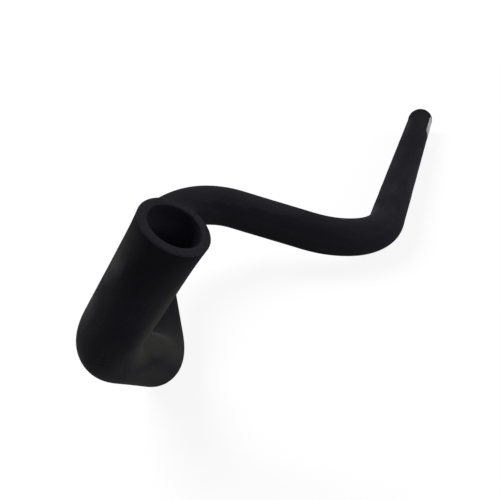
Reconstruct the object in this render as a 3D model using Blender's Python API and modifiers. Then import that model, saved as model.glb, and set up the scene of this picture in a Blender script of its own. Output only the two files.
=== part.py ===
"""Moulded heater hose: one rubber pipe with four bends, open and cut square at both ends.

The hose keeps the shape that it was cured in. It lies as it comes to rest on a bench: the
long leg flat along +Y, the heel bend on the bench, and the mouth standing up in the air.
"""
import math

import bpy
from mathutils import Matrix, Quaternion, Vector

MM = 0.001

# Section of the hose, whose bore pushes over a three-quarter inch heater pipe
BORE = 19.0 * MM
WALL = 3.5 * MM
CUT_EDGE_ROUND = 0.5 * MM

# Straight legs along the centreline, each from one bend point to the next
LONG_LEG = 332.0 * MM
CROSS_LEG = 168.0 * MM
RISER_LEG = 139.0 * MM
HEEL_LEG = 68.0 * MM
MOUTH_LEG = 72.0 * MM

# Directions of those legs in degrees, followed from the corner bend to the mouth:
# the heading is seen from above, from +Y towards +X, and the climb is above level
CROSS_HEADING = -104.0
CROSS_CLIMB = 15.75
RISER_HEADING = 147.0
RISER_CLIMB = -21.0
HEEL_HEADING = 178.0
HEEL_CLIMB = 43.0
MOUTH_HEADING = 91.5
MOUTH_CLIMB = 59.0

# Bend radii of the centreline
CORNER_RADIUS = 64.0 * MM
SHOULDER_RADIUS = 46.0 * MM
HEEL_RADIUS = 21.0 * MM
ELBOW_RADIUS = 33.0 * MM

# Fineness of the faceted pipe
SIDES = 36
BEND_STEP = math.radians(8.0)
CUT_EDGE_STEPS = 2

OUTER_RADIUS = BORE / 2 + WALL


def clear_scene():
    for old in list(bpy.data.objects):
        bpy.data.objects.remove(old)


def rubber():
    """Black EPDM rubber with the dull skin that a steam-cured hose has."""
    material = bpy.data.materials.new("black_rubber")
    material.use_nodes = True
    shader = material.node_tree.nodes["Principled BSDF"]
    shader.inputs["Base Color"].default_value = (0.022, 0.022, 0.025, 1.0)
    shader.inputs["Roughness"].default_value = 0.62
    shader.inputs["Metallic"].default_value = 0.0
    return material


def direction(heading, climb):
    """Unit vector of a leg from its heading and its climb in degrees."""
    turned = math.radians(heading)
    raised = math.radians(climb)
    level = math.cos(raised)
    return Vector((math.sin(turned) * level, math.cos(turned) * level, math.sin(raised)))


def bend_points():
    """The ends and bend points of the route, from the far end to the mouth."""
    corner = Vector((0.0, 0.0, 0.0))
    far_end = corner + LONG_LEG * direction(0.0, 0.0)
    shoulder = corner + CROSS_LEG * direction(CROSS_HEADING, CROSS_CLIMB)
    heel = shoulder + RISER_LEG * direction(RISER_HEADING, RISER_CLIMB)
    elbow = heel + HEEL_LEG * direction(HEEL_HEADING, HEEL_CLIMB)
    mouth = elbow + MOUTH_LEG * direction(MOUTH_HEADING, MOUTH_CLIMB)
    return far_end, corner, shoulder, heel, elbow, mouth


def rounded_bend(before, point, after, radius):
    """Points on the arc that rounds a bend point, tangent to the legs on both sides."""
    back = (before - point).normalized()
    ahead = (after - point).normalized()
    turn = math.pi - back.angle(ahead)
    centre = point + (back + ahead).normalized() * (radius / math.cos(turn / 2))
    first_spoke = point + back * (radius * math.tan(turn / 2)) - centre
    last_spoke = point + ahead * (radius * math.tan(turn / 2)) - centre
    axle = first_spoke.cross(last_spoke).normalized()
    steps = math.ceil(turn / BEND_STEP)
    return [centre + Quaternion(axle, turn * i / steps) @ first_spoke for i in range(steps + 1)]


def centreline():
    """The route as points: straight legs, with a round arc in each bend."""
    far_end, corner, shoulder, heel, elbow, mouth = bend_points()
    corner_bend = rounded_bend(far_end, corner, shoulder, CORNER_RADIUS)
    shoulder_bend = rounded_bend(corner, shoulder, heel, SHOULDER_RADIUS)
    heel_bend = rounded_bend(shoulder, heel, elbow, HEEL_RADIUS)
    elbow_bend = rounded_bend(heel, elbow, mouth, ELBOW_RADIUS)
    lying = [far_end] + corner_bend
    standing = shoulder_bend + heel_bend + elbow_bend + [mouth]
    return laid_on_bench(lying, standing)


def laid_on_bench(lying, standing):
    """Roll the route about its long leg until the lowest bend is down on the bench too."""
    lowest = min(math.atan2(point.z, -point.x) for point in standing)
    roll = Matrix.Rotation(-lowest, 4, "Y")
    height = Matrix.Translation((0.0, 0.0, OUTER_RADIUS))
    return [height @ roll @ point for point in lying + standing]


def pipe(route):
    """A tube along the route, walled inwards, with the cut edges of both ends rounded."""
    curve = bpy.data.curves.new("hose", "CURVE")
    curve.dimensions = "3D"
    curve.bevel_depth = OUTER_RADIUS
    curve.bevel_resolution = SIDES // 2 - 2
    curve.use_fill_caps = False
    spline = curve.splines.new("POLY")
    spline.points.add(len(route) - 1)
    for spline_point, place in zip(spline.points, route):
        spline_point.co = (*place, 1.0)
    hose = bpy.data.objects.new("hose", curve)

    wall = hose.modifiers.new("wall", "SOLIDIFY")
    wall.thickness = WALL
    wall.offset = -1.0
    wall.use_rim = True

    cut_edges = hose.modifiers.new("cut_edges", "BEVEL")
    cut_edges.width = CUT_EDGE_ROUND
    cut_edges.segments = CUT_EDGE_STEPS
    cut_edges.limit_method = "ANGLE"
    cut_edges.angle_limit = math.radians(60.0)
    cut_edges.harden_normals = True
    return hose


def stand_over_origin(hose):
    """Move the hose so that the origin is on the bench, under the middle of its box."""
    bpy.context.view_layer.update()
    shape = hose.evaluated_get(bpy.context.evaluated_depsgraph_get()).to_mesh()
    spans = [sorted(vertex.co[side] for vertex in shape.vertices) for side in range(3)]
    middle_x = (spans[0][0] + spans[0][-1]) / 2
    middle_y = (spans[1][0] + spans[1][-1]) / 2
    hose.location = (-middle_x, -middle_y, -spans[2][0])


def main():
    clear_scene()
    collection = bpy.data.collections.new("heater_hose")
    bpy.context.scene.collection.children.link(collection)
    hose = pipe(centreline())
    collection.objects.link(hose)
    hose.data.materials.append(rubber())
    stand_over_origin(hose)


main()
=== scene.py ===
import math

import bmesh
import bpy
from mathutils import Matrix, Vector, noise


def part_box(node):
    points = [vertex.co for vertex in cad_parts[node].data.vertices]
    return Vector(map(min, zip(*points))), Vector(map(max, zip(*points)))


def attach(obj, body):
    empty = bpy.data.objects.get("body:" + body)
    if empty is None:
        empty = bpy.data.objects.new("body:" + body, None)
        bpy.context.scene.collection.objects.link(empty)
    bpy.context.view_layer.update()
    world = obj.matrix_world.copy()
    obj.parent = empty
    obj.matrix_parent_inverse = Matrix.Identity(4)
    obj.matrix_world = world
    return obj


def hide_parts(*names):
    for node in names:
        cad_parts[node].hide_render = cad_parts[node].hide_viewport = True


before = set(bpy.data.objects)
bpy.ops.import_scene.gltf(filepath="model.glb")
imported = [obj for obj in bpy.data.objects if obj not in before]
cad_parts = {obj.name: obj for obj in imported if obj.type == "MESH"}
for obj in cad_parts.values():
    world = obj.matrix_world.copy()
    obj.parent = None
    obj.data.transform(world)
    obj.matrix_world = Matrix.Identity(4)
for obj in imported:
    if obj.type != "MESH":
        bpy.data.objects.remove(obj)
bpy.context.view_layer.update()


# The hose
# One moulded pipe of black EPDM rubber, with yarn knitted inside its wall. It is cured on a
# bent mandrel, so it keeps its four bends by itself, and a knife cuts both ends square.
BORE = 0.019
WALL = 0.0035
OUTER_RADIUS = BORE / 2 + WALL

LONG_LEG = 0.332
CROSS_LEG = 0.168
RISER_LEG = 0.139
HEEL_LEG = 0.068
MOUTH_LEG = 0.072

# Heading and climb of each leg after the corner bend, in degrees. A heading runs from +Y to +X.
CROSS_WAY = (-104.0, 15.75)
RISER_WAY = (147.0, -21.0)
HEEL_WAY = (178.0, 43.0)
MOUTH_WAY = (91.5, 59.0)

CORNER_RADIUS = 0.064
SHOULDER_RADIUS = 0.046
HEEL_RADIUS = 0.021
ELBOW_RADIUS = 0.033

# Widening of each skin at a cut end, and how far it reaches into the hose
OUTER_STRETCH = (0.00045, 0.014)
BORE_STRETCH = (0.00050, 0.022)

# Softness of the cut edges, and their segments
OUTER_EDGE = (0.0007, 4)
BORE_EDGE = (0.0004, 3)

# Hand-made unevenness of both skins, which fades out towards the ends
LUMP_HEIGHT = 0.00012
LUMPS_PER_METRE = 55.0
LUMP_FADE = 0.03

HOSE_SIDES = 96
BEND_STEP = 0.0022
STRAIGHT_STEP = 0.0040
HEEL_HALF_STEPS = 30

# Material slots, after the first one for the skin
BORE_SLOT = 1
CUT_SLOT = 2


def leg(length, way):
    """A leg of the route as a vector, from its length and its heading and climb in degrees."""
    heading, climb = (math.radians(angle) for angle in way)
    level = math.cos(climb)
    return length * Vector((math.sin(heading) * level, math.cos(heading) * level, math.sin(climb)))


def bend_between(before, point, after, radius):
    """Centre, axle, angle and tangent length of the arc that rounds a bend point."""
    back = (before - point).normalized()
    ahead = (after - point).normalized()
    turn = math.pi - back.angle(ahead)
    centre = point + (back + ahead).normalized() * (radius / math.cos(turn / 2))
    axle = ahead.cross(back).normalized()
    return centre, axle, turn, radius * math.tan(turn / 2)


def lying_route():
    """Ends and bend points of the middle line, rolled until the heel is down on the table."""
    corner = Vector((0.0, 0.0, 0.0))
    far_end = leg(LONG_LEG, (0.0, 0.0))
    shoulder = corner + leg(CROSS_LEG, CROSS_WAY)
    heel = shoulder + leg(RISER_LEG, RISER_WAY)
    elbow = heel + leg(HEEL_LEG, HEEL_WAY)
    mouth = elbow + leg(MOUTH_LEG, MOUTH_WAY)
    centre, axle, turn, _ = bend_between(shoulder, heel, elbow, HEEL_RADIUS)
    spoke = (heel - centre).normalized() * HEEL_RADIUS
    swings = [turn * i / (2 * HEEL_HALF_STEPS) for i in range(-HEEL_HALF_STEPS, HEEL_HALF_STEPS + 1)]
    heel_arc = [centre + Matrix.Rotation(swing, 3, axle) @ spoke for swing in swings]
    lowest_angle = min(math.atan2(point.z, -point.x) for point in heel_arc)
    high_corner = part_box("hose")[1]
    place = Vector((high_corner[0] - OUTER_RADIUS, high_corner[1] - LONG_LEG, OUTER_RADIUS))
    roll = Matrix.Rotation(-lowest_angle, 4, "Y")
    return [place + roll @ point for point in (far_end, corner, shoulder, heel, elbow, mouth)]


def push_ring(mesh, ring, move, step, unbent):
    """Extrude the open end of the pipe by one ring, and note how far along the hose it lies."""
    made = bmesh.ops.extrude_edge_only(mesh, edges=ring)["geom"]
    corners = [item for item in made if isinstance(item, bmesh.types.BMVert)]
    bmesh.ops.transform(mesh, matrix=move, verts=corners)
    for corner in corners:
        corner[unbent] = corner[unbent] + Vector((0.0, 0.0, step))
    return [item for item in made if isinstance(item, bmesh.types.BMEdge)]


def push_straight(mesh, ring, run, unbent):
    """Push the open end of the pipe along a straight leg, in even steps."""
    steps = math.ceil(run.length / STRAIGHT_STEP)
    move = Matrix.Translation(run / steps)
    for _ in range(steps):
        ring = push_ring(mesh, ring, move, run.length / steps, unbent)
    return ring


def push_round(mesh, ring, bend, radius, unbent):
    """Swing the open end of the pipe round a bend, in even steps."""
    centre, axle, turn, _ = bend
    steps = math.ceil(turn * radius / BEND_STEP)
    there = Matrix.Translation(centre)
    move = there @ Matrix.Rotation(turn / steps, 4, axle) @ there.inverted()
    for _ in range(steps):
        ring = push_ring(mesh, ring, move, turn * radius / steps, unbent)
    return ring


def push_skin(mesh, points, radius, unbent):
    """One skin of the pipe along the whole route, and the edge loops of its two ends."""
    ahead = (points[1] - points[0]).normalized()
    stand = Matrix.Translation(points[0]) @ ahead.to_track_quat("Z", "Y").to_matrix().to_4x4()
    circle = bmesh.ops.create_circle(mesh, segments=HOSE_SIDES, radius=radius)["verts"]
    for corner in circle:
        corner[unbent] = corner.co.copy()
    bmesh.ops.transform(mesh, matrix=stand, verts=circle)
    first_ring = list({edge for corner in circle for edge in corner.link_edges})
    ring = first_ring
    radii = (CORNER_RADIUS, SHOULDER_RADIUS, HEEL_RADIUS, ELBOW_RADIUS)
    start = points[0]
    for before, point, after, bend_radius in zip(points, points[1:], points[2:], radii):
        bend = bend_between(before, point, after, bend_radius)
        tangent = bend[3]
        stop = point + (before - point).normalized() * tangent
        ring = push_straight(mesh, ring, stop - start, unbent)
        ring = push_round(mesh, ring, bend, bend_radius, unbent)
        start = point + (after - point).normalized() * tangent
    last_ring = push_straight(mesh, ring, points[-1] - start, unbent)
    return first_ring, last_ring


def stretched(from_end, stretch):
    """How far a pipe stub has stretched a skin outwards, at this distance from a cut end."""
    widening, reach = stretch
    return widening * max(0.0, 1.0 - from_end / reach) ** 2


def stretch_ends(corners, unbent, stretch):
    """Widen a skin towards its cut ends, and make it a little uneven between them.

    The far end lies on the table, so it rises as it widens, and nothing sinks into the table.
    """
    whole_length = max(corner[unbent].z for corner in corners)
    for corner in corners:
        place = corner[unbent]
        from_end = min(place.z, whole_length - place.z)
        fade = min(1.0, from_end / LUMP_FADE)
        lump = LUMP_HEIGHT * noise.noise(place * LUMPS_PER_METRE) * fade
        corner.co += (stretched(from_end, stretch) + lump) * corner.normal
        corner.co.z += stretched(place.z, OUTER_STRETCH)
        corner.co.z = max(corner.co.z, 0.0)


def soften_edge(mesh, ring, edge):
    """Round one edge of a cut face, as handling wears it."""
    softness, segments = edge
    softened = bmesh.ops.bevel(
        mesh,
        geom=ring,
        affect="EDGES",
        offset=softness,
        segments=segments,
        profile=0.5,
        material=-1,
    )["faces"]
    for face in softened:
        face.material_index = CUT_SLOT


def hose_pipe():
    """The walled pipe: outer skin, bore, and a cut face with softened edges at each end."""
    mesh = bmesh.new()
    # Where each corner would be on a straight hose, which the textures follow
    unbent = mesh.verts.layers.float_vector.new("unbent")
    points = lying_route()
    outer_ends = push_skin(mesh, points, OUTER_RADIUS, unbent)
    outer_faces = set(mesh.faces)
    outer_corners = set(mesh.verts)
    bore_ends = push_skin(mesh, points, BORE / 2, unbent)
    bore_faces = [face for face in mesh.faces if face not in outer_faces]
    bore_corners = [corner for corner in mesh.verts if corner not in outer_corners]
    mesh.normal_update()
    stretch_ends(outer_corners, unbent, OUTER_STRETCH)
    stretch_ends(bore_corners, unbent, BORE_STRETCH)
    bmesh.ops.reverse_faces(mesh, faces=bore_faces)
    for face in bore_faces:
        face.material_index = BORE_SLOT
    for outer_ring, bore_ring in zip(outer_ends, bore_ends):
        cut_faces = bmesh.ops.bridge_loops(mesh, edges=outer_ring + bore_ring)["faces"]
        for face in cut_faces:
            face.material_index = CUT_SLOT
        soften_edge(mesh, outer_ring, OUTER_EDGE)
        soften_edge(mesh, bore_ring, BORE_EDGE)
    for face in mesh.faces:
        face.smooth = True
    return mesh


def add_node(tree, kind, **settings):
    """A new node with its own settings."""
    node = tree.nodes.new(kind)
    for name, value in settings.items():
        setattr(node, name, value)
    return node


def put(tree, value, socket):
    """Give a socket a plain value, or join it to another node's output."""
    if isinstance(value, bpy.types.NodeSocket):
        tree.links.new(value, socket)
    elif isinstance(value, tuple):
        socket.default_value = (*value, 1.0)
    else:
        socket.default_value = value


def patches(tree, place, size, along=1.0, detail=3.0, roughness=0.5, shift=0.0):
    """Noise with patches of about this size in metres, drawn out along the hose if asked."""
    spread = add_node(tree, "ShaderNodeMapping")
    spread.inputs["Scale"].default_value = (1.0 / size, 1.0 / size, 1.0 / size / along)
    spread.inputs["Location"].default_value = (shift, shift, shift)
    tree.links.new(place, spread.inputs["Vector"])
    cloud = add_node(tree, "ShaderNodeTexNoise")
    cloud.inputs["Scale"].default_value = 1.0
    cloud.inputs["Detail"].default_value = detail
    cloud.inputs["Roughness"].default_value = roughness
    tree.links.new(spread.outputs["Vector"], cloud.inputs["Vector"])
    return cloud.outputs["Fac"]


def between(tree, value, low, high, bottom=0.0, top=1.0):
    """Turn a value into a soft step from bottom to top, as it goes from low to high."""
    step = add_node(tree, "ShaderNodeMapRange", interpolation_type="SMOOTHSTEP")
    step.inputs["From Min"].default_value = low
    step.inputs["From Max"].default_value = high
    step.inputs["To Min"].default_value = bottom
    step.inputs["To Max"].default_value = top
    tree.links.new(value, step.inputs["Value"])
    return step.outputs["Result"]


def combined(tree, operation, first, *others):
    """Several values worked into one by this operation, two at a time."""
    result = first
    for other in others:
        node = add_node(tree, "ShaderNodeMath", operation=operation)
        put(tree, result, node.inputs[0])
        put(tree, other, node.inputs[1])
        result = node.outputs["Value"]
    return result


def times(tree, first, second):
    """One value times another."""
    return combined(tree, "MULTIPLY", first, second)


def strongest(tree, first, *others):
    """The largest of several values at each place."""
    return combined(tree, "MAXIMUM", first, *others)


def mixed(tree, share, first, second):
    """Two colours mixed by a share. Inputs 6 and 7 and output 2 of the node are its colours."""
    node = add_node(tree, "ShaderNodeMix", data_type="RGBA")
    put(tree, share, node.inputs[0])
    put(tree, first, node.inputs[6])
    put(tree, second, node.inputs[7])
    return node.outputs[2]


def mark(tree, place, angle, along, width, length):
    """A soft mark on the skin, at an angle round the hose and a place along it.

    The angle is 0 on the right side of the long leg and 90 on top. The place is in metres, from
    0 at the far end to 0.709 at the mouth.
    """
    turn = math.radians(angle)
    centre = Vector((OUTER_RADIUS * math.cos(turn), OUTER_RADIUS * math.sin(turn), along))
    spread = add_node(tree, "ShaderNodeMapping", vector_type="TEXTURE")
    spread.inputs["Location"].default_value = centre
    spread.inputs["Scale"].default_value = (width / 2, width / 2, length / 2)
    tree.links.new(place, spread.inputs["Vector"])
    reach = add_node(tree, "ShaderNodeVectorMath", operation="LENGTH")
    tree.links.new(spread.outputs["Vector"], reach.inputs[0])
    return between(tree, reach.outputs["Value"], low=1.0, high=0.2)


def bumped(tree, height, distance, strength=1.0, under=None):
    """A bump from a height, on top of another bump if there is one."""
    bump = add_node(tree, "ShaderNodeBump")
    bump.inputs["Distance"].default_value = distance
    bump.inputs["Strength"].default_value = strength
    tree.links.new(height, bump.inputs["Height"])
    if under is not None:
        tree.links.new(under, bump.inputs["Normal"])
    return bump.outputs["Normal"]


def distance_along(tree, place):
    """How far along the hose a place lies, from the cut of the far end."""
    parts = add_node(tree, "ShaderNodeSeparateXYZ")
    tree.links.new(place, parts.inputs["Vector"])
    return parts.outputs["Z"]


# Black of the darker ends, and of the painted shade near the far end
BLACK_ENDS_AND_PAINTED_SHADE = (0.0042, 0.0040, 0.0058)
BLACK_DEEP = (0.0088, 0.0084, 0.0115)
BLACK_WORN = (0.0150, 0.0147, 0.0174)
BLACK_SCRAPED = (0.003, 0.003, 0.004)
GREY_STREAK = (0.030, 0.030, 0.032)
# Pale bloom of the rubber; the same colour also paints the highlights
PALE_BLOOM_AND_HIGHLIGHT = (0.060, 0.060, 0.058)
# Grey of the painted light on the cross leg and the shoulder bend
GREY_PAINTED_LIGHT = (0.0395, 0.0395, 0.0395)
# Warm pale colour of the painted highlights at the heel
WARM_PAINTED_HIGHLIGHT = (0.040, 0.0405, 0.034)
RUBBER_SPECULAR = 0.014


def painted_highlights(tree, place, light_breakup):
    """Painted highlights: pale patches on the left of the mouth leg and of the long leg, broken up by
    noise.
    """
    mouth_highlight = mark(tree, place, angle=174.0, along=0.689, width=0.0165, length=0.032)
    elbow_highlight = mark(tree, place, angle=166.0, along=0.661, width=0.0165, length=0.030)
    corner_highlight = mark(tree, place, angle=140.0, along=0.290, width=0.0140, length=0.056)
    far_highlight = mark(tree, place, angle=139.0, along=0.060, width=0.0165, length=0.104)
    highlights = strongest(tree, mouth_highlight, elbow_highlight, corner_highlight, times(tree, far_highlight, 0.50))
    return times(tree, highlights, between(tree, light_breakup, low=0.36, high=0.60, bottom=0.45, top=1.0))


def painted_light_bands(tree, place, light_breakup, bloom_and_light_clouds):
    """Painted light: lighter grey bands along the cross leg and round the shoulder bend, and a little at
    the mouth.
    """
    ragged = between(tree, light_breakup, low=0.3, high=0.7, bottom=-0.12, top=0.12)
    shoulder = mark(tree, place, angle=69.0, along=0.424, width=0.0330, length=0.184)
    shoulder = combined(tree, "ADD", shoulder, ragged)
    shoulder = between(tree, shoulder, low=0.34, high=0.60, bottom=0.0, top=0.22)
    under = mark(tree, place, angle=-22.0, along=0.390, width=0.0340, length=0.200)
    under = times(tree, under, between(tree, bloom_and_light_clouds, low=0.25, high=0.60, bottom=0.10, top=0.18))
    behind = mark(tree, place, angle=20.0, along=0.465, width=0.0260, length=0.056)
    behind = times(tree, behind, 0.36)
    lip = mark(tree, place, angle=-70.0, along=0.693, width=0.0200, length=0.046)
    lip = times(tree, lip, 0.15)
    top = mark(tree, place, angle=58.0, along=0.340, width=0.0300, length=0.150)
    top = times(tree, top, between(tree, light_breakup, low=0.3, high=0.7, bottom=0.09, top=0.16))
    return strongest(tree, shoulder, under, behind, top, lip)


def heel_highlights(tree, place, bloom_and_light_clouds):
    """Painted highlights: warm pale streaks in the crook of the heel, up the edge of the mouth leg, and
    faintly beside them.
    """
    riser = mark(tree, place, angle=18.0, along=0.586, width=0.0330, length=0.088)
    inner = mark(tree, place, angle=2.0, along=0.618, width=0.0160, length=0.036)
    crease = mark(tree, place, angle=-30.0, along=0.634, width=0.0150, length=0.040)
    edge = mark(tree, place, angle=-53.0, along=0.670, width=0.0140, length=0.076)
    heel = mark(tree, place, angle=-72.0, along=0.605, width=0.0210, length=0.062)
    heel_light = combined(tree, "ADD", inner, edge, riser, crease, times(tree, heel, 0.6))
    heel_light = combined(tree, "MINIMUM", heel_light, 1.0)
    elbow = mark(tree, place, angle=-115.0, along=0.646, width=0.0220, length=0.046)
    lip = mark(tree, place, angle=-174.0, along=0.701, width=0.0180, length=0.026)
    heel_light = strongest(tree, heel_light, times(tree, elbow, 0.18), times(tree, lip, 0.28))
    return times(tree, heel_light, between(tree, bloom_and_light_clouds, low=0.25, high=0.60, bottom=0.36, top=0.56))


def three_scrapes(tree, place):
    """Three short dark scrapes across the elbow bend."""
    first = mark(tree, place, angle=-112.5, along=0.6455, width=0.0034, length=0.0011)
    second = mark(tree, place, angle=-110.0, along=0.6478, width=0.0040, length=0.0010)
    third = mark(tree, place, angle=-115.0, along=0.6495, width=0.0026, length=0.0009)
    return strongest(tree, first, second, third)


def skin_material():
    """Dull black skin with lengthwise streaks, fine grain, pale bloom and scrapes, darker at both ends,
    with painted highlights, painted light and painted shade.
    """
    material = bpy.data.materials.new("black_rubber_skin")
    material.use_nodes = True
    tree = material.node_tree
    shader = tree.nodes["Principled BSDF"]
    place = add_node(tree, "ShaderNodeAttribute", attribute_name="unbent").outputs["Vector"]
    along = distance_along(tree, place)

    clouds = patches(tree, place, size=0.022, along=4.0, detail=5.0, roughness=0.62)
    streaks = patches(tree, place, size=0.0013, along=22.0, detail=3.0, roughness=0.55)
    grain = patches(tree, place, size=0.00045, detail=3.0, roughness=0.6)
    bloom_and_light_clouds = patches(tree, place, size=0.034, along=2.5, detail=6.0, roughness=0.66, shift=7.3)
    light_breakup = patches(tree, place, size=0.0045, along=1.6, detail=5.0, roughness=0.6, shift=2.9)
    scrapes = three_scrapes(tree, place)

    worn = between(tree, clouds, low=0.30, high=0.70)
    hatch = between(tree, streaks, low=0.40, high=0.60, bottom=0.60, top=1.0)
    bloom = times(tree, between(tree, bloom_and_light_clouds, low=0.52, high=0.74), hatch)
    streaked = times(tree, between(tree, streaks, low=0.35, high=0.68), 0.06)
    colour = mixed(tree, worn, BLACK_DEEP, BLACK_WORN)
    colour = mixed(tree, times(tree, bloom, 0.26), colour, PALE_BLOOM_AND_HIGHLIGHT)
    colour = mixed(tree, streaked, colour, GREY_STREAK)

    # Darker towards both ends of the hose
    from_far_end = between(tree, along, low=0.015, high=0.190, bottom=0.16, top=1.0)
    from_mouth = between(tree, along, low=0.706, high=0.670, bottom=0.36, top=1.0)
    colour = mixed(tree, times(tree, from_far_end, from_mouth), BLACK_ENDS_AND_PAINTED_SHADE, colour)
    # Painted highlights: pale patches that stand in for light on the left flanks and the inner corner bend
    highlights = times(tree, painted_highlights(tree, place, light_breakup), hatch)
    colour = mixed(tree, times(tree, highlights, 0.62), colour, PALE_BLOOM_AND_HIGHLIGHT)
    # Painted shade: darker on the upper right side of the long leg near the far end
    painted_shade_side = mark(tree, place, angle=42.0, along=0.078, width=0.0240, length=0.230)
    colour = mixed(tree, times(tree, painted_shade_side, 0.42), colour, BLACK_ENDS_AND_PAINTED_SHADE)

    # Painted light: lighter grey bands along the cross leg and the shoulder bend, where light falls
    colour = mixed(tree, painted_light_bands(tree, place, light_breakup, bloom_and_light_clouds), colour, GREY_PAINTED_LIGHT)
    # Painted highlights: warm pale streaks in the crook of the heel and along the mouth leg
    colour = mixed(tree, heel_highlights(tree, place, bloom_and_light_clouds), colour, WARM_PAINTED_HIGHLIGHT)
    colour = mixed(tree, times(tree, scrapes, 0.8), colour, BLACK_SCRAPED)

    put(tree, colour, shader.inputs["Base Color"])
    put(tree, between(tree, clouds, low=0.25, high=0.75, bottom=0.92, top=0.80), shader.inputs["Roughness"])
    shader.inputs["Specular IOR Level"].default_value = RUBBER_SPECULAR
    shader.inputs["Sheen Weight"].default_value = 0.018
    shader.inputs["Sheen Roughness"].default_value = 0.3
    lines = bumped(tree, streaks, distance=0.00012, strength=0.6)
    lumps = bumped(tree, clouds, distance=0.0006, strength=0.5, under=lines)
    fine = bumped(tree, grain, distance=0.00006, strength=0.7, under=lumps)
    put(tree, bumped(tree, scrapes, distance=-0.0003, under=fine), shader.inputs["Normal"])
    return material


BORE_AT_RIM = (0.0090, 0.0087, 0.0124)
BORE_PAINTED_LIGHT_INSIDE = (0.0340, 0.0332, 0.0430)
BORE_SHADED = (0.0045, 0.0043, 0.0062)


def bore_material():
    """Smooth inner tube, as the mandrel leaves it, with soft clouds, faint lines along it, and painted
    light that makes it lighter away from the rims.
    """
    material = bpy.data.materials.new("black_rubber_bore")
    material.use_nodes = True
    tree = material.node_tree
    shader = tree.nodes["Principled BSDF"]
    place = add_node(tree, "ShaderNodeAttribute", attribute_name="unbent").outputs["Vector"]
    along = distance_along(tree, place)
    lines = patches(tree, place, size=0.0011, along=30.0, detail=2.0)
    clouds = patches(tree, place, size=0.012, detail=4.0, roughness=0.6)
    # Painted light: the bore is lighter deeper inside than at the rim, against the shade that falls there
    past_far_end = between(tree, along, low=0.0010, high=0.0130)
    past_mouth = between(tree, along, low=0.7082, high=0.6962)
    black = mixed(tree, times(tree, past_far_end, past_mouth), BORE_AT_RIM, BORE_PAINTED_LIGHT_INSIDE)
    cloudy = between(tree, clouds, low=0.3, high=0.7, bottom=0.0, top=0.3)
    black = mixed(tree, cloudy, black, BORE_SHADED)
    put(tree, black, shader.inputs["Base Color"])
    put(tree, between(tree, clouds, low=0.3, high=0.7, bottom=0.45, top=0.60), shader.inputs["Roughness"])
    shader.inputs["Specular IOR Level"].default_value = 0.06
    put(tree, bumped(tree, lines, distance=0.00008, strength=0.6), shader.inputs["Normal"])
    return material


CUT_DARK = (0.0155, 0.0151, 0.0182)
CUT_LIGHT = (0.0212, 0.0208, 0.0242)
CUT_DRAGGED = (0.036, 0.036, 0.038)
KNIFE_SLANT = (math.radians(20.0), math.radians(35.0), math.radians(15.0))


def cut_material():
    """Matt face that the knife leaves, a little greyer than the skin, with drag lines."""
    material = bpy.data.materials.new("black_rubber_cut")
    material.use_nodes = True
    tree = material.node_tree
    shader = tree.nodes["Principled BSDF"]
    place = add_node(tree, "ShaderNodeTexCoord").outputs["Object"]
    slant = add_node(tree, "ShaderNodeMapping")
    slant.inputs["Rotation"].default_value = KNIFE_SLANT
    tree.links.new(place, slant.inputs["Vector"])
    drag = patches(tree, slant.outputs["Vector"], size=0.0005, along=14.0, detail=2.0)
    crumbs = patches(tree, place, size=0.0006, detail=4.0, roughness=0.65)
    dragged = between(tree, drag, low=0.35, high=0.7, bottom=0.0, top=0.35)
    grey = mixed(tree, between(tree, crumbs, low=0.3, high=0.7), CUT_DARK, CUT_LIGHT)
    grey = mixed(tree, dragged, grey, CUT_DRAGGED)
    put(tree, grey, shader.inputs["Base Color"])
    shader.inputs["Roughness"].default_value = 0.9
    shader.inputs["Specular IOR Level"].default_value = RUBBER_SPECULAR
    cuts = bumped(tree, drag, distance=0.0001, strength=0.6)
    put(tree, bumped(tree, crumbs, distance=0.00015, strength=0.6, under=cuts), shader.inputs["Normal"])
    return material


pipe_mesh = hose_pipe()
pipe_data = bpy.data.meshes.new("moulded_hose")
pipe_mesh.to_mesh(pipe_data)
pipe_mesh.free()
pipe_data.materials.append(skin_material())
pipe_data.materials.append(bore_material())
pipe_data.materials.append(cut_material())
moulded_hose = bpy.data.objects.new("moulded_hose", pipe_data)
bpy.context.scene.collection.objects.link(moulded_hose)

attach(moulded_hose, "root")
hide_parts("hose")


# The sticker
# A blank strip of pale grey paper with rounded corners. It is glued round the right side of
# the long leg, just behind the far end, with its length along the hose.
STICKER_LENGTH = 0.060
STICKER_WIDTH = 0.019
STICKER_THICK = 0.00015
STICKER_LIFT = 0.00001
STICKER_FROM_END = 0.0045
STICKER_TOP_ANGLE = math.radians(34.0)
STICKER_CORNER = 0.0045
STICKER_STRIPS = 26


def sticker_strip():
    """A thin strip with rounded corners, still flat, cut into strips so that it can be rolled."""
    mesh = bmesh.new()
    bmesh.ops.create_grid(mesh, x_segments=1, y_segments=1, size=0.5)
    bmesh.ops.scale(mesh, vec=(STICKER_WIDTH, STICKER_LENGTH, 1.0), verts=mesh.verts)
    bmesh.ops.bevel(
        mesh,
        geom=mesh.verts,
        affect="VERTICES",
        offset=STICKER_CORNER,
        segments=8,
        profile=0.5,
        material=-1,
    )
    for i in range(1, STICKER_STRIPS):
        bmesh.ops.bisect_plane(
            mesh,
            geom=mesh.verts[:] + mesh.edges[:] + mesh.faces[:],
            dist=1e-7,
            plane_co=(STICKER_WIDTH * (i / STICKER_STRIPS - 0.5), 0.0, 0.0),
            plane_no=(1.0, 0.0, 0.0),
        )
    bmesh.ops.solidify(mesh, geom=mesh.faces[:], thickness=STICKER_THICK)
    return mesh


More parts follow.
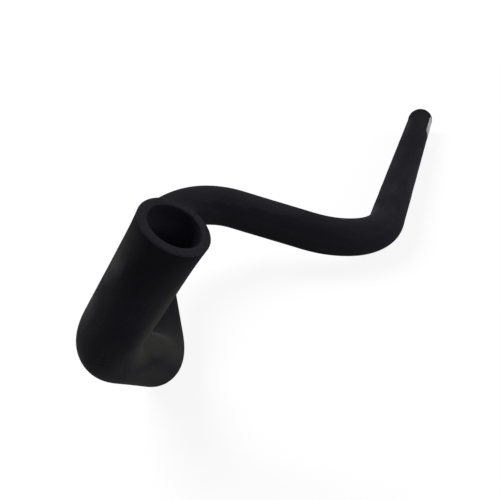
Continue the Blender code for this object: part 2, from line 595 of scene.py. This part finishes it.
def roll_on_leg(mesh):
    """Roll the flat strip on to the long leg, from its top edge down round the right side."""
    high_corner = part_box("hose")[1]
    leg_x = high_corner[0] - OUTER_RADIUS
    lowest = min(corner.co.z for corner in mesh.verts)
    middle = STICKER_TOP_ANGLE - STICKER_WIDTH / 2 / OUTER_RADIUS
    for corner in mesh.verts:
        around = middle - corner.co.x / OUTER_RADIUS
        from_end = STICKER_FROM_END + STICKER_LENGTH / 2 - corner.co.y
        stretch = stretched(from_end, OUTER_STRETCH)
        radius = OUTER_RADIUS + STICKER_LIFT + stretch + (corner.co.z - lowest)
        corner.co.x = leg_x + radius * math.cos(around)
        corner.co.y = high_corner[1] - from_end
        corner.co.z = OUTER_RADIUS + stretch + radius * math.sin(around)


PAPER_DULL = (0.35, 0.35, 0.35)
PAPER_PALE = (0.42, 0.42, 0.415)
PAPER_GRUBBY = (0.20, 0.195, 0.185)


def sticker_material():
    """Pale grey matt paper with faint fibres and grubby patches."""
    material = bpy.data.materials.new("pale_paper")
    material.use_nodes = True
    tree = material.node_tree
    shader = tree.nodes["Principled BSDF"]
    place = add_node(tree, "ShaderNodeTexCoord").outputs["Object"]
    fibres = patches(tree, place, size=0.0004, detail=4.0, roughness=0.6)
    grime = patches(tree, place, size=0.009, detail=5.0, roughness=0.65, shift=3.1)
    grubby = between(tree, grime, low=0.5, high=0.8, bottom=0.0, top=0.4)
    paper = mixed(tree, between(tree, fibres, low=0.3, high=0.7), PAPER_DULL, PAPER_PALE)
    paper = mixed(tree, grubby, paper, PAPER_GRUBBY)
    put(tree, paper, shader.inputs["Base Color"])
    shader.inputs["Roughness"].default_value = 0.8
    shader.inputs["Specular IOR Level"].default_value = 0.2
    put(tree, bumped(tree, fibres, distance=0.00004, strength=0.7), shader.inputs["Normal"])
    return material


sticker_mesh = sticker_strip()
roll_on_leg(sticker_mesh)
for face in sticker_mesh.faces:
    face.smooth = True
sticker_data = bpy.data.meshes.new("blank_sticker")
sticker_mesh.to_mesh(sticker_data)
sticker_mesh.free()
sticker_data.materials.append(sticker_material())
blank_sticker = bpy.data.objects.new("blank_sticker", sticker_data)
bpy.context.scene.collection.objects.link(blank_sticker)
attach(blank_sticker, "root")


# The table
# A wide white sheet under the hose. The camera and the gloss see it as plain white with a faint
# shadow, and it throws less light up at the hose than so white a sheet would.
TABLE_HALF = 5.0
TABLE_GAP = 0.0001
TABLE_BOUNCE = (0.52, 0.51, 0.45)
SHADOWED_WHITE = (0.15, 0.15, 0.15)
GLOW_NEAR = 0.88
GLOW_FAR = 1.0
GLOW_NEAR_REACH = 0.5
GLOW_FAR_REACH = 1.8


def white_when_seen(tree):
    """One where a ray comes from the camera, from gloss or through glass, and else nought."""
    rays = add_node(tree, "ShaderNodeLightPath").outputs
    return strongest(tree, rays["Is Camera Ray"], rays["Is Glossy Ray"], rays["Is Transmission Ray"])


def table_material():
    """A sheet that is seen white, with a shadow that fades out away from the hose."""
    material = bpy.data.materials.new("white_sheet")
    material.use_nodes = True
    tree = material.node_tree
    tree.nodes.clear()
    place = add_node(tree, "ShaderNodeTexCoord").outputs["Object"]
    reach = add_node(tree, "ShaderNodeVectorMath", operation="LENGTH")
    tree.links.new(place, reach.inputs[0])
    brightness = between(
        tree,
        reach.outputs["Value"],
        low=GLOW_NEAR_REACH,
        high=GLOW_FAR_REACH,
        bottom=GLOW_NEAR,
        top=GLOW_FAR,
    )
    glow = add_node(tree, "ShaderNodeEmission")
    put(tree, brightness, glow.inputs["Strength"])
    shaded = add_node(tree, "ShaderNodeBsdfDiffuse")
    put(tree, SHADOWED_WHITE, shaded.inputs["Color"])
    white = add_node(tree, "ShaderNodeAddShader")
    tree.links.new(glow.outputs[0], white.inputs[0])
    tree.links.new(shaded.outputs[0], white.inputs[1])
    dim = add_node(tree, "ShaderNodeBsdfDiffuse")
    put(tree, TABLE_BOUNCE, dim.inputs["Color"])
    chosen = add_node(tree, "ShaderNodeMixShader")
    put(tree, white_when_seen(tree), chosen.inputs["Fac"])
    tree.links.new(dim.outputs[0], chosen.inputs[1])
    tree.links.new(white.outputs[0], chosen.inputs[2])
    output = add_node(tree, "ShaderNodeOutputMaterial")
    tree.links.new(chosen.outputs[0], output.inputs["Surface"])
    return material


table_mesh = bmesh.new()
bmesh.ops.create_grid(table_mesh, x_segments=1, y_segments=1, size=TABLE_HALF)
bmesh.ops.translate(table_mesh, verts=table_mesh.verts, vec=(0.0, 0.0, -TABLE_GAP))
table_data = bpy.data.meshes.new("white_table")
table_mesh.to_mesh(table_data)
table_mesh.free()
table_data.materials.append(table_material())
white_table = bpy.data.objects.new("white_table", table_data)
bpy.context.scene.collection.objects.link(white_table)


# The light
# A dim even room, one wide soft lamp high on the left, and three low ones on the right, from
# behind the hose round to its front. No lamp stands by the camera, so that side stays darkest.
LAMP_SIZE = 1.6
LAMP_DISTANCE = 2.4
LAMP_AIM = Vector((0.0, 0.0, 0.05))
WARM_WHITE = (1.0, 1.0, 0.96)
COOL_WHITE = (0.92, 0.90, 1.0)
ROOM_DIM = (0.125, 0.122, 0.20)
ROOM_WHITE = (1.0, 1.0, 1.0)


def soft_lamp(name, heading, height, power, colour):
    """A round soft lamp at this heading and height in degrees, turned to the hose."""
    lamp_data = bpy.data.lights.new(name, "AREA")
    lamp_data.shape = "DISK"
    lamp_data.size = LAMP_SIZE
    lamp_data.energy = power
    lamp_data.color = colour
    lamp = bpy.data.objects.new(name, lamp_data)
    way = leg(1.0, (heading, height))
    lamp.location = LAMP_AIM + way * LAMP_DISTANCE
    lamp.rotation_euler = (-way).to_track_quat("-Z", "Y").to_euler()
    bpy.context.scene.collection.objects.link(lamp)


soft_lamp("left_lamp", heading=-90.0, height=45.0, power=55.0, colour=WARM_WHITE)
soft_lamp("right_back_lamp", heading=45.0, height=15.0, power=19.0, colour=WARM_WHITE)
soft_lamp("right_lamp", heading=90.0, height=15.0, power=19.0, colour=WARM_WHITE)
soft_lamp("right_front_lamp", heading=135.0, height=15.0, power=11.0, colour=COOL_WHITE)

studio = bpy.data.worlds.new("studio")
studio.use_nodes = True
room = studio.node_tree
backdrop = room.nodes["Background"]
put(room, mixed(room, white_when_seen(room), ROOM_DIM, ROOM_WHITE), backdrop.inputs["Color"])
bpy.context.scene.world = studio


# The camera
# It stands about 20 cm from the mouth of the hose and as high above the table. It looks along
# the hose, so the mouth is large and the far end small.
CAMERA_PLACE = (0.09772, -0.41327, 0.20172)
CAMERA_DIP = 28.573
CAMERA_TURN = 19.37
SENSOR_WIDTH = 36.0
LENS = 41.77

camera_data = bpy.data.cameras.new("camera")
camera_data.sensor_width = SENSOR_WIDTH
camera_data.lens = LENS
camera = bpy.data.objects.new("camera", camera_data)
camera.location = CAMERA_PLACE
camera.rotation_euler = (math.radians(90.0 - CAMERA_DIP), 0.0, math.radians(CAMERA_TURN))
bpy.context.scene.collection.objects.link(camera)
bpy.context.scene.camera = camera
bpy.context.scene.view_settings.view_transform = "Standard"
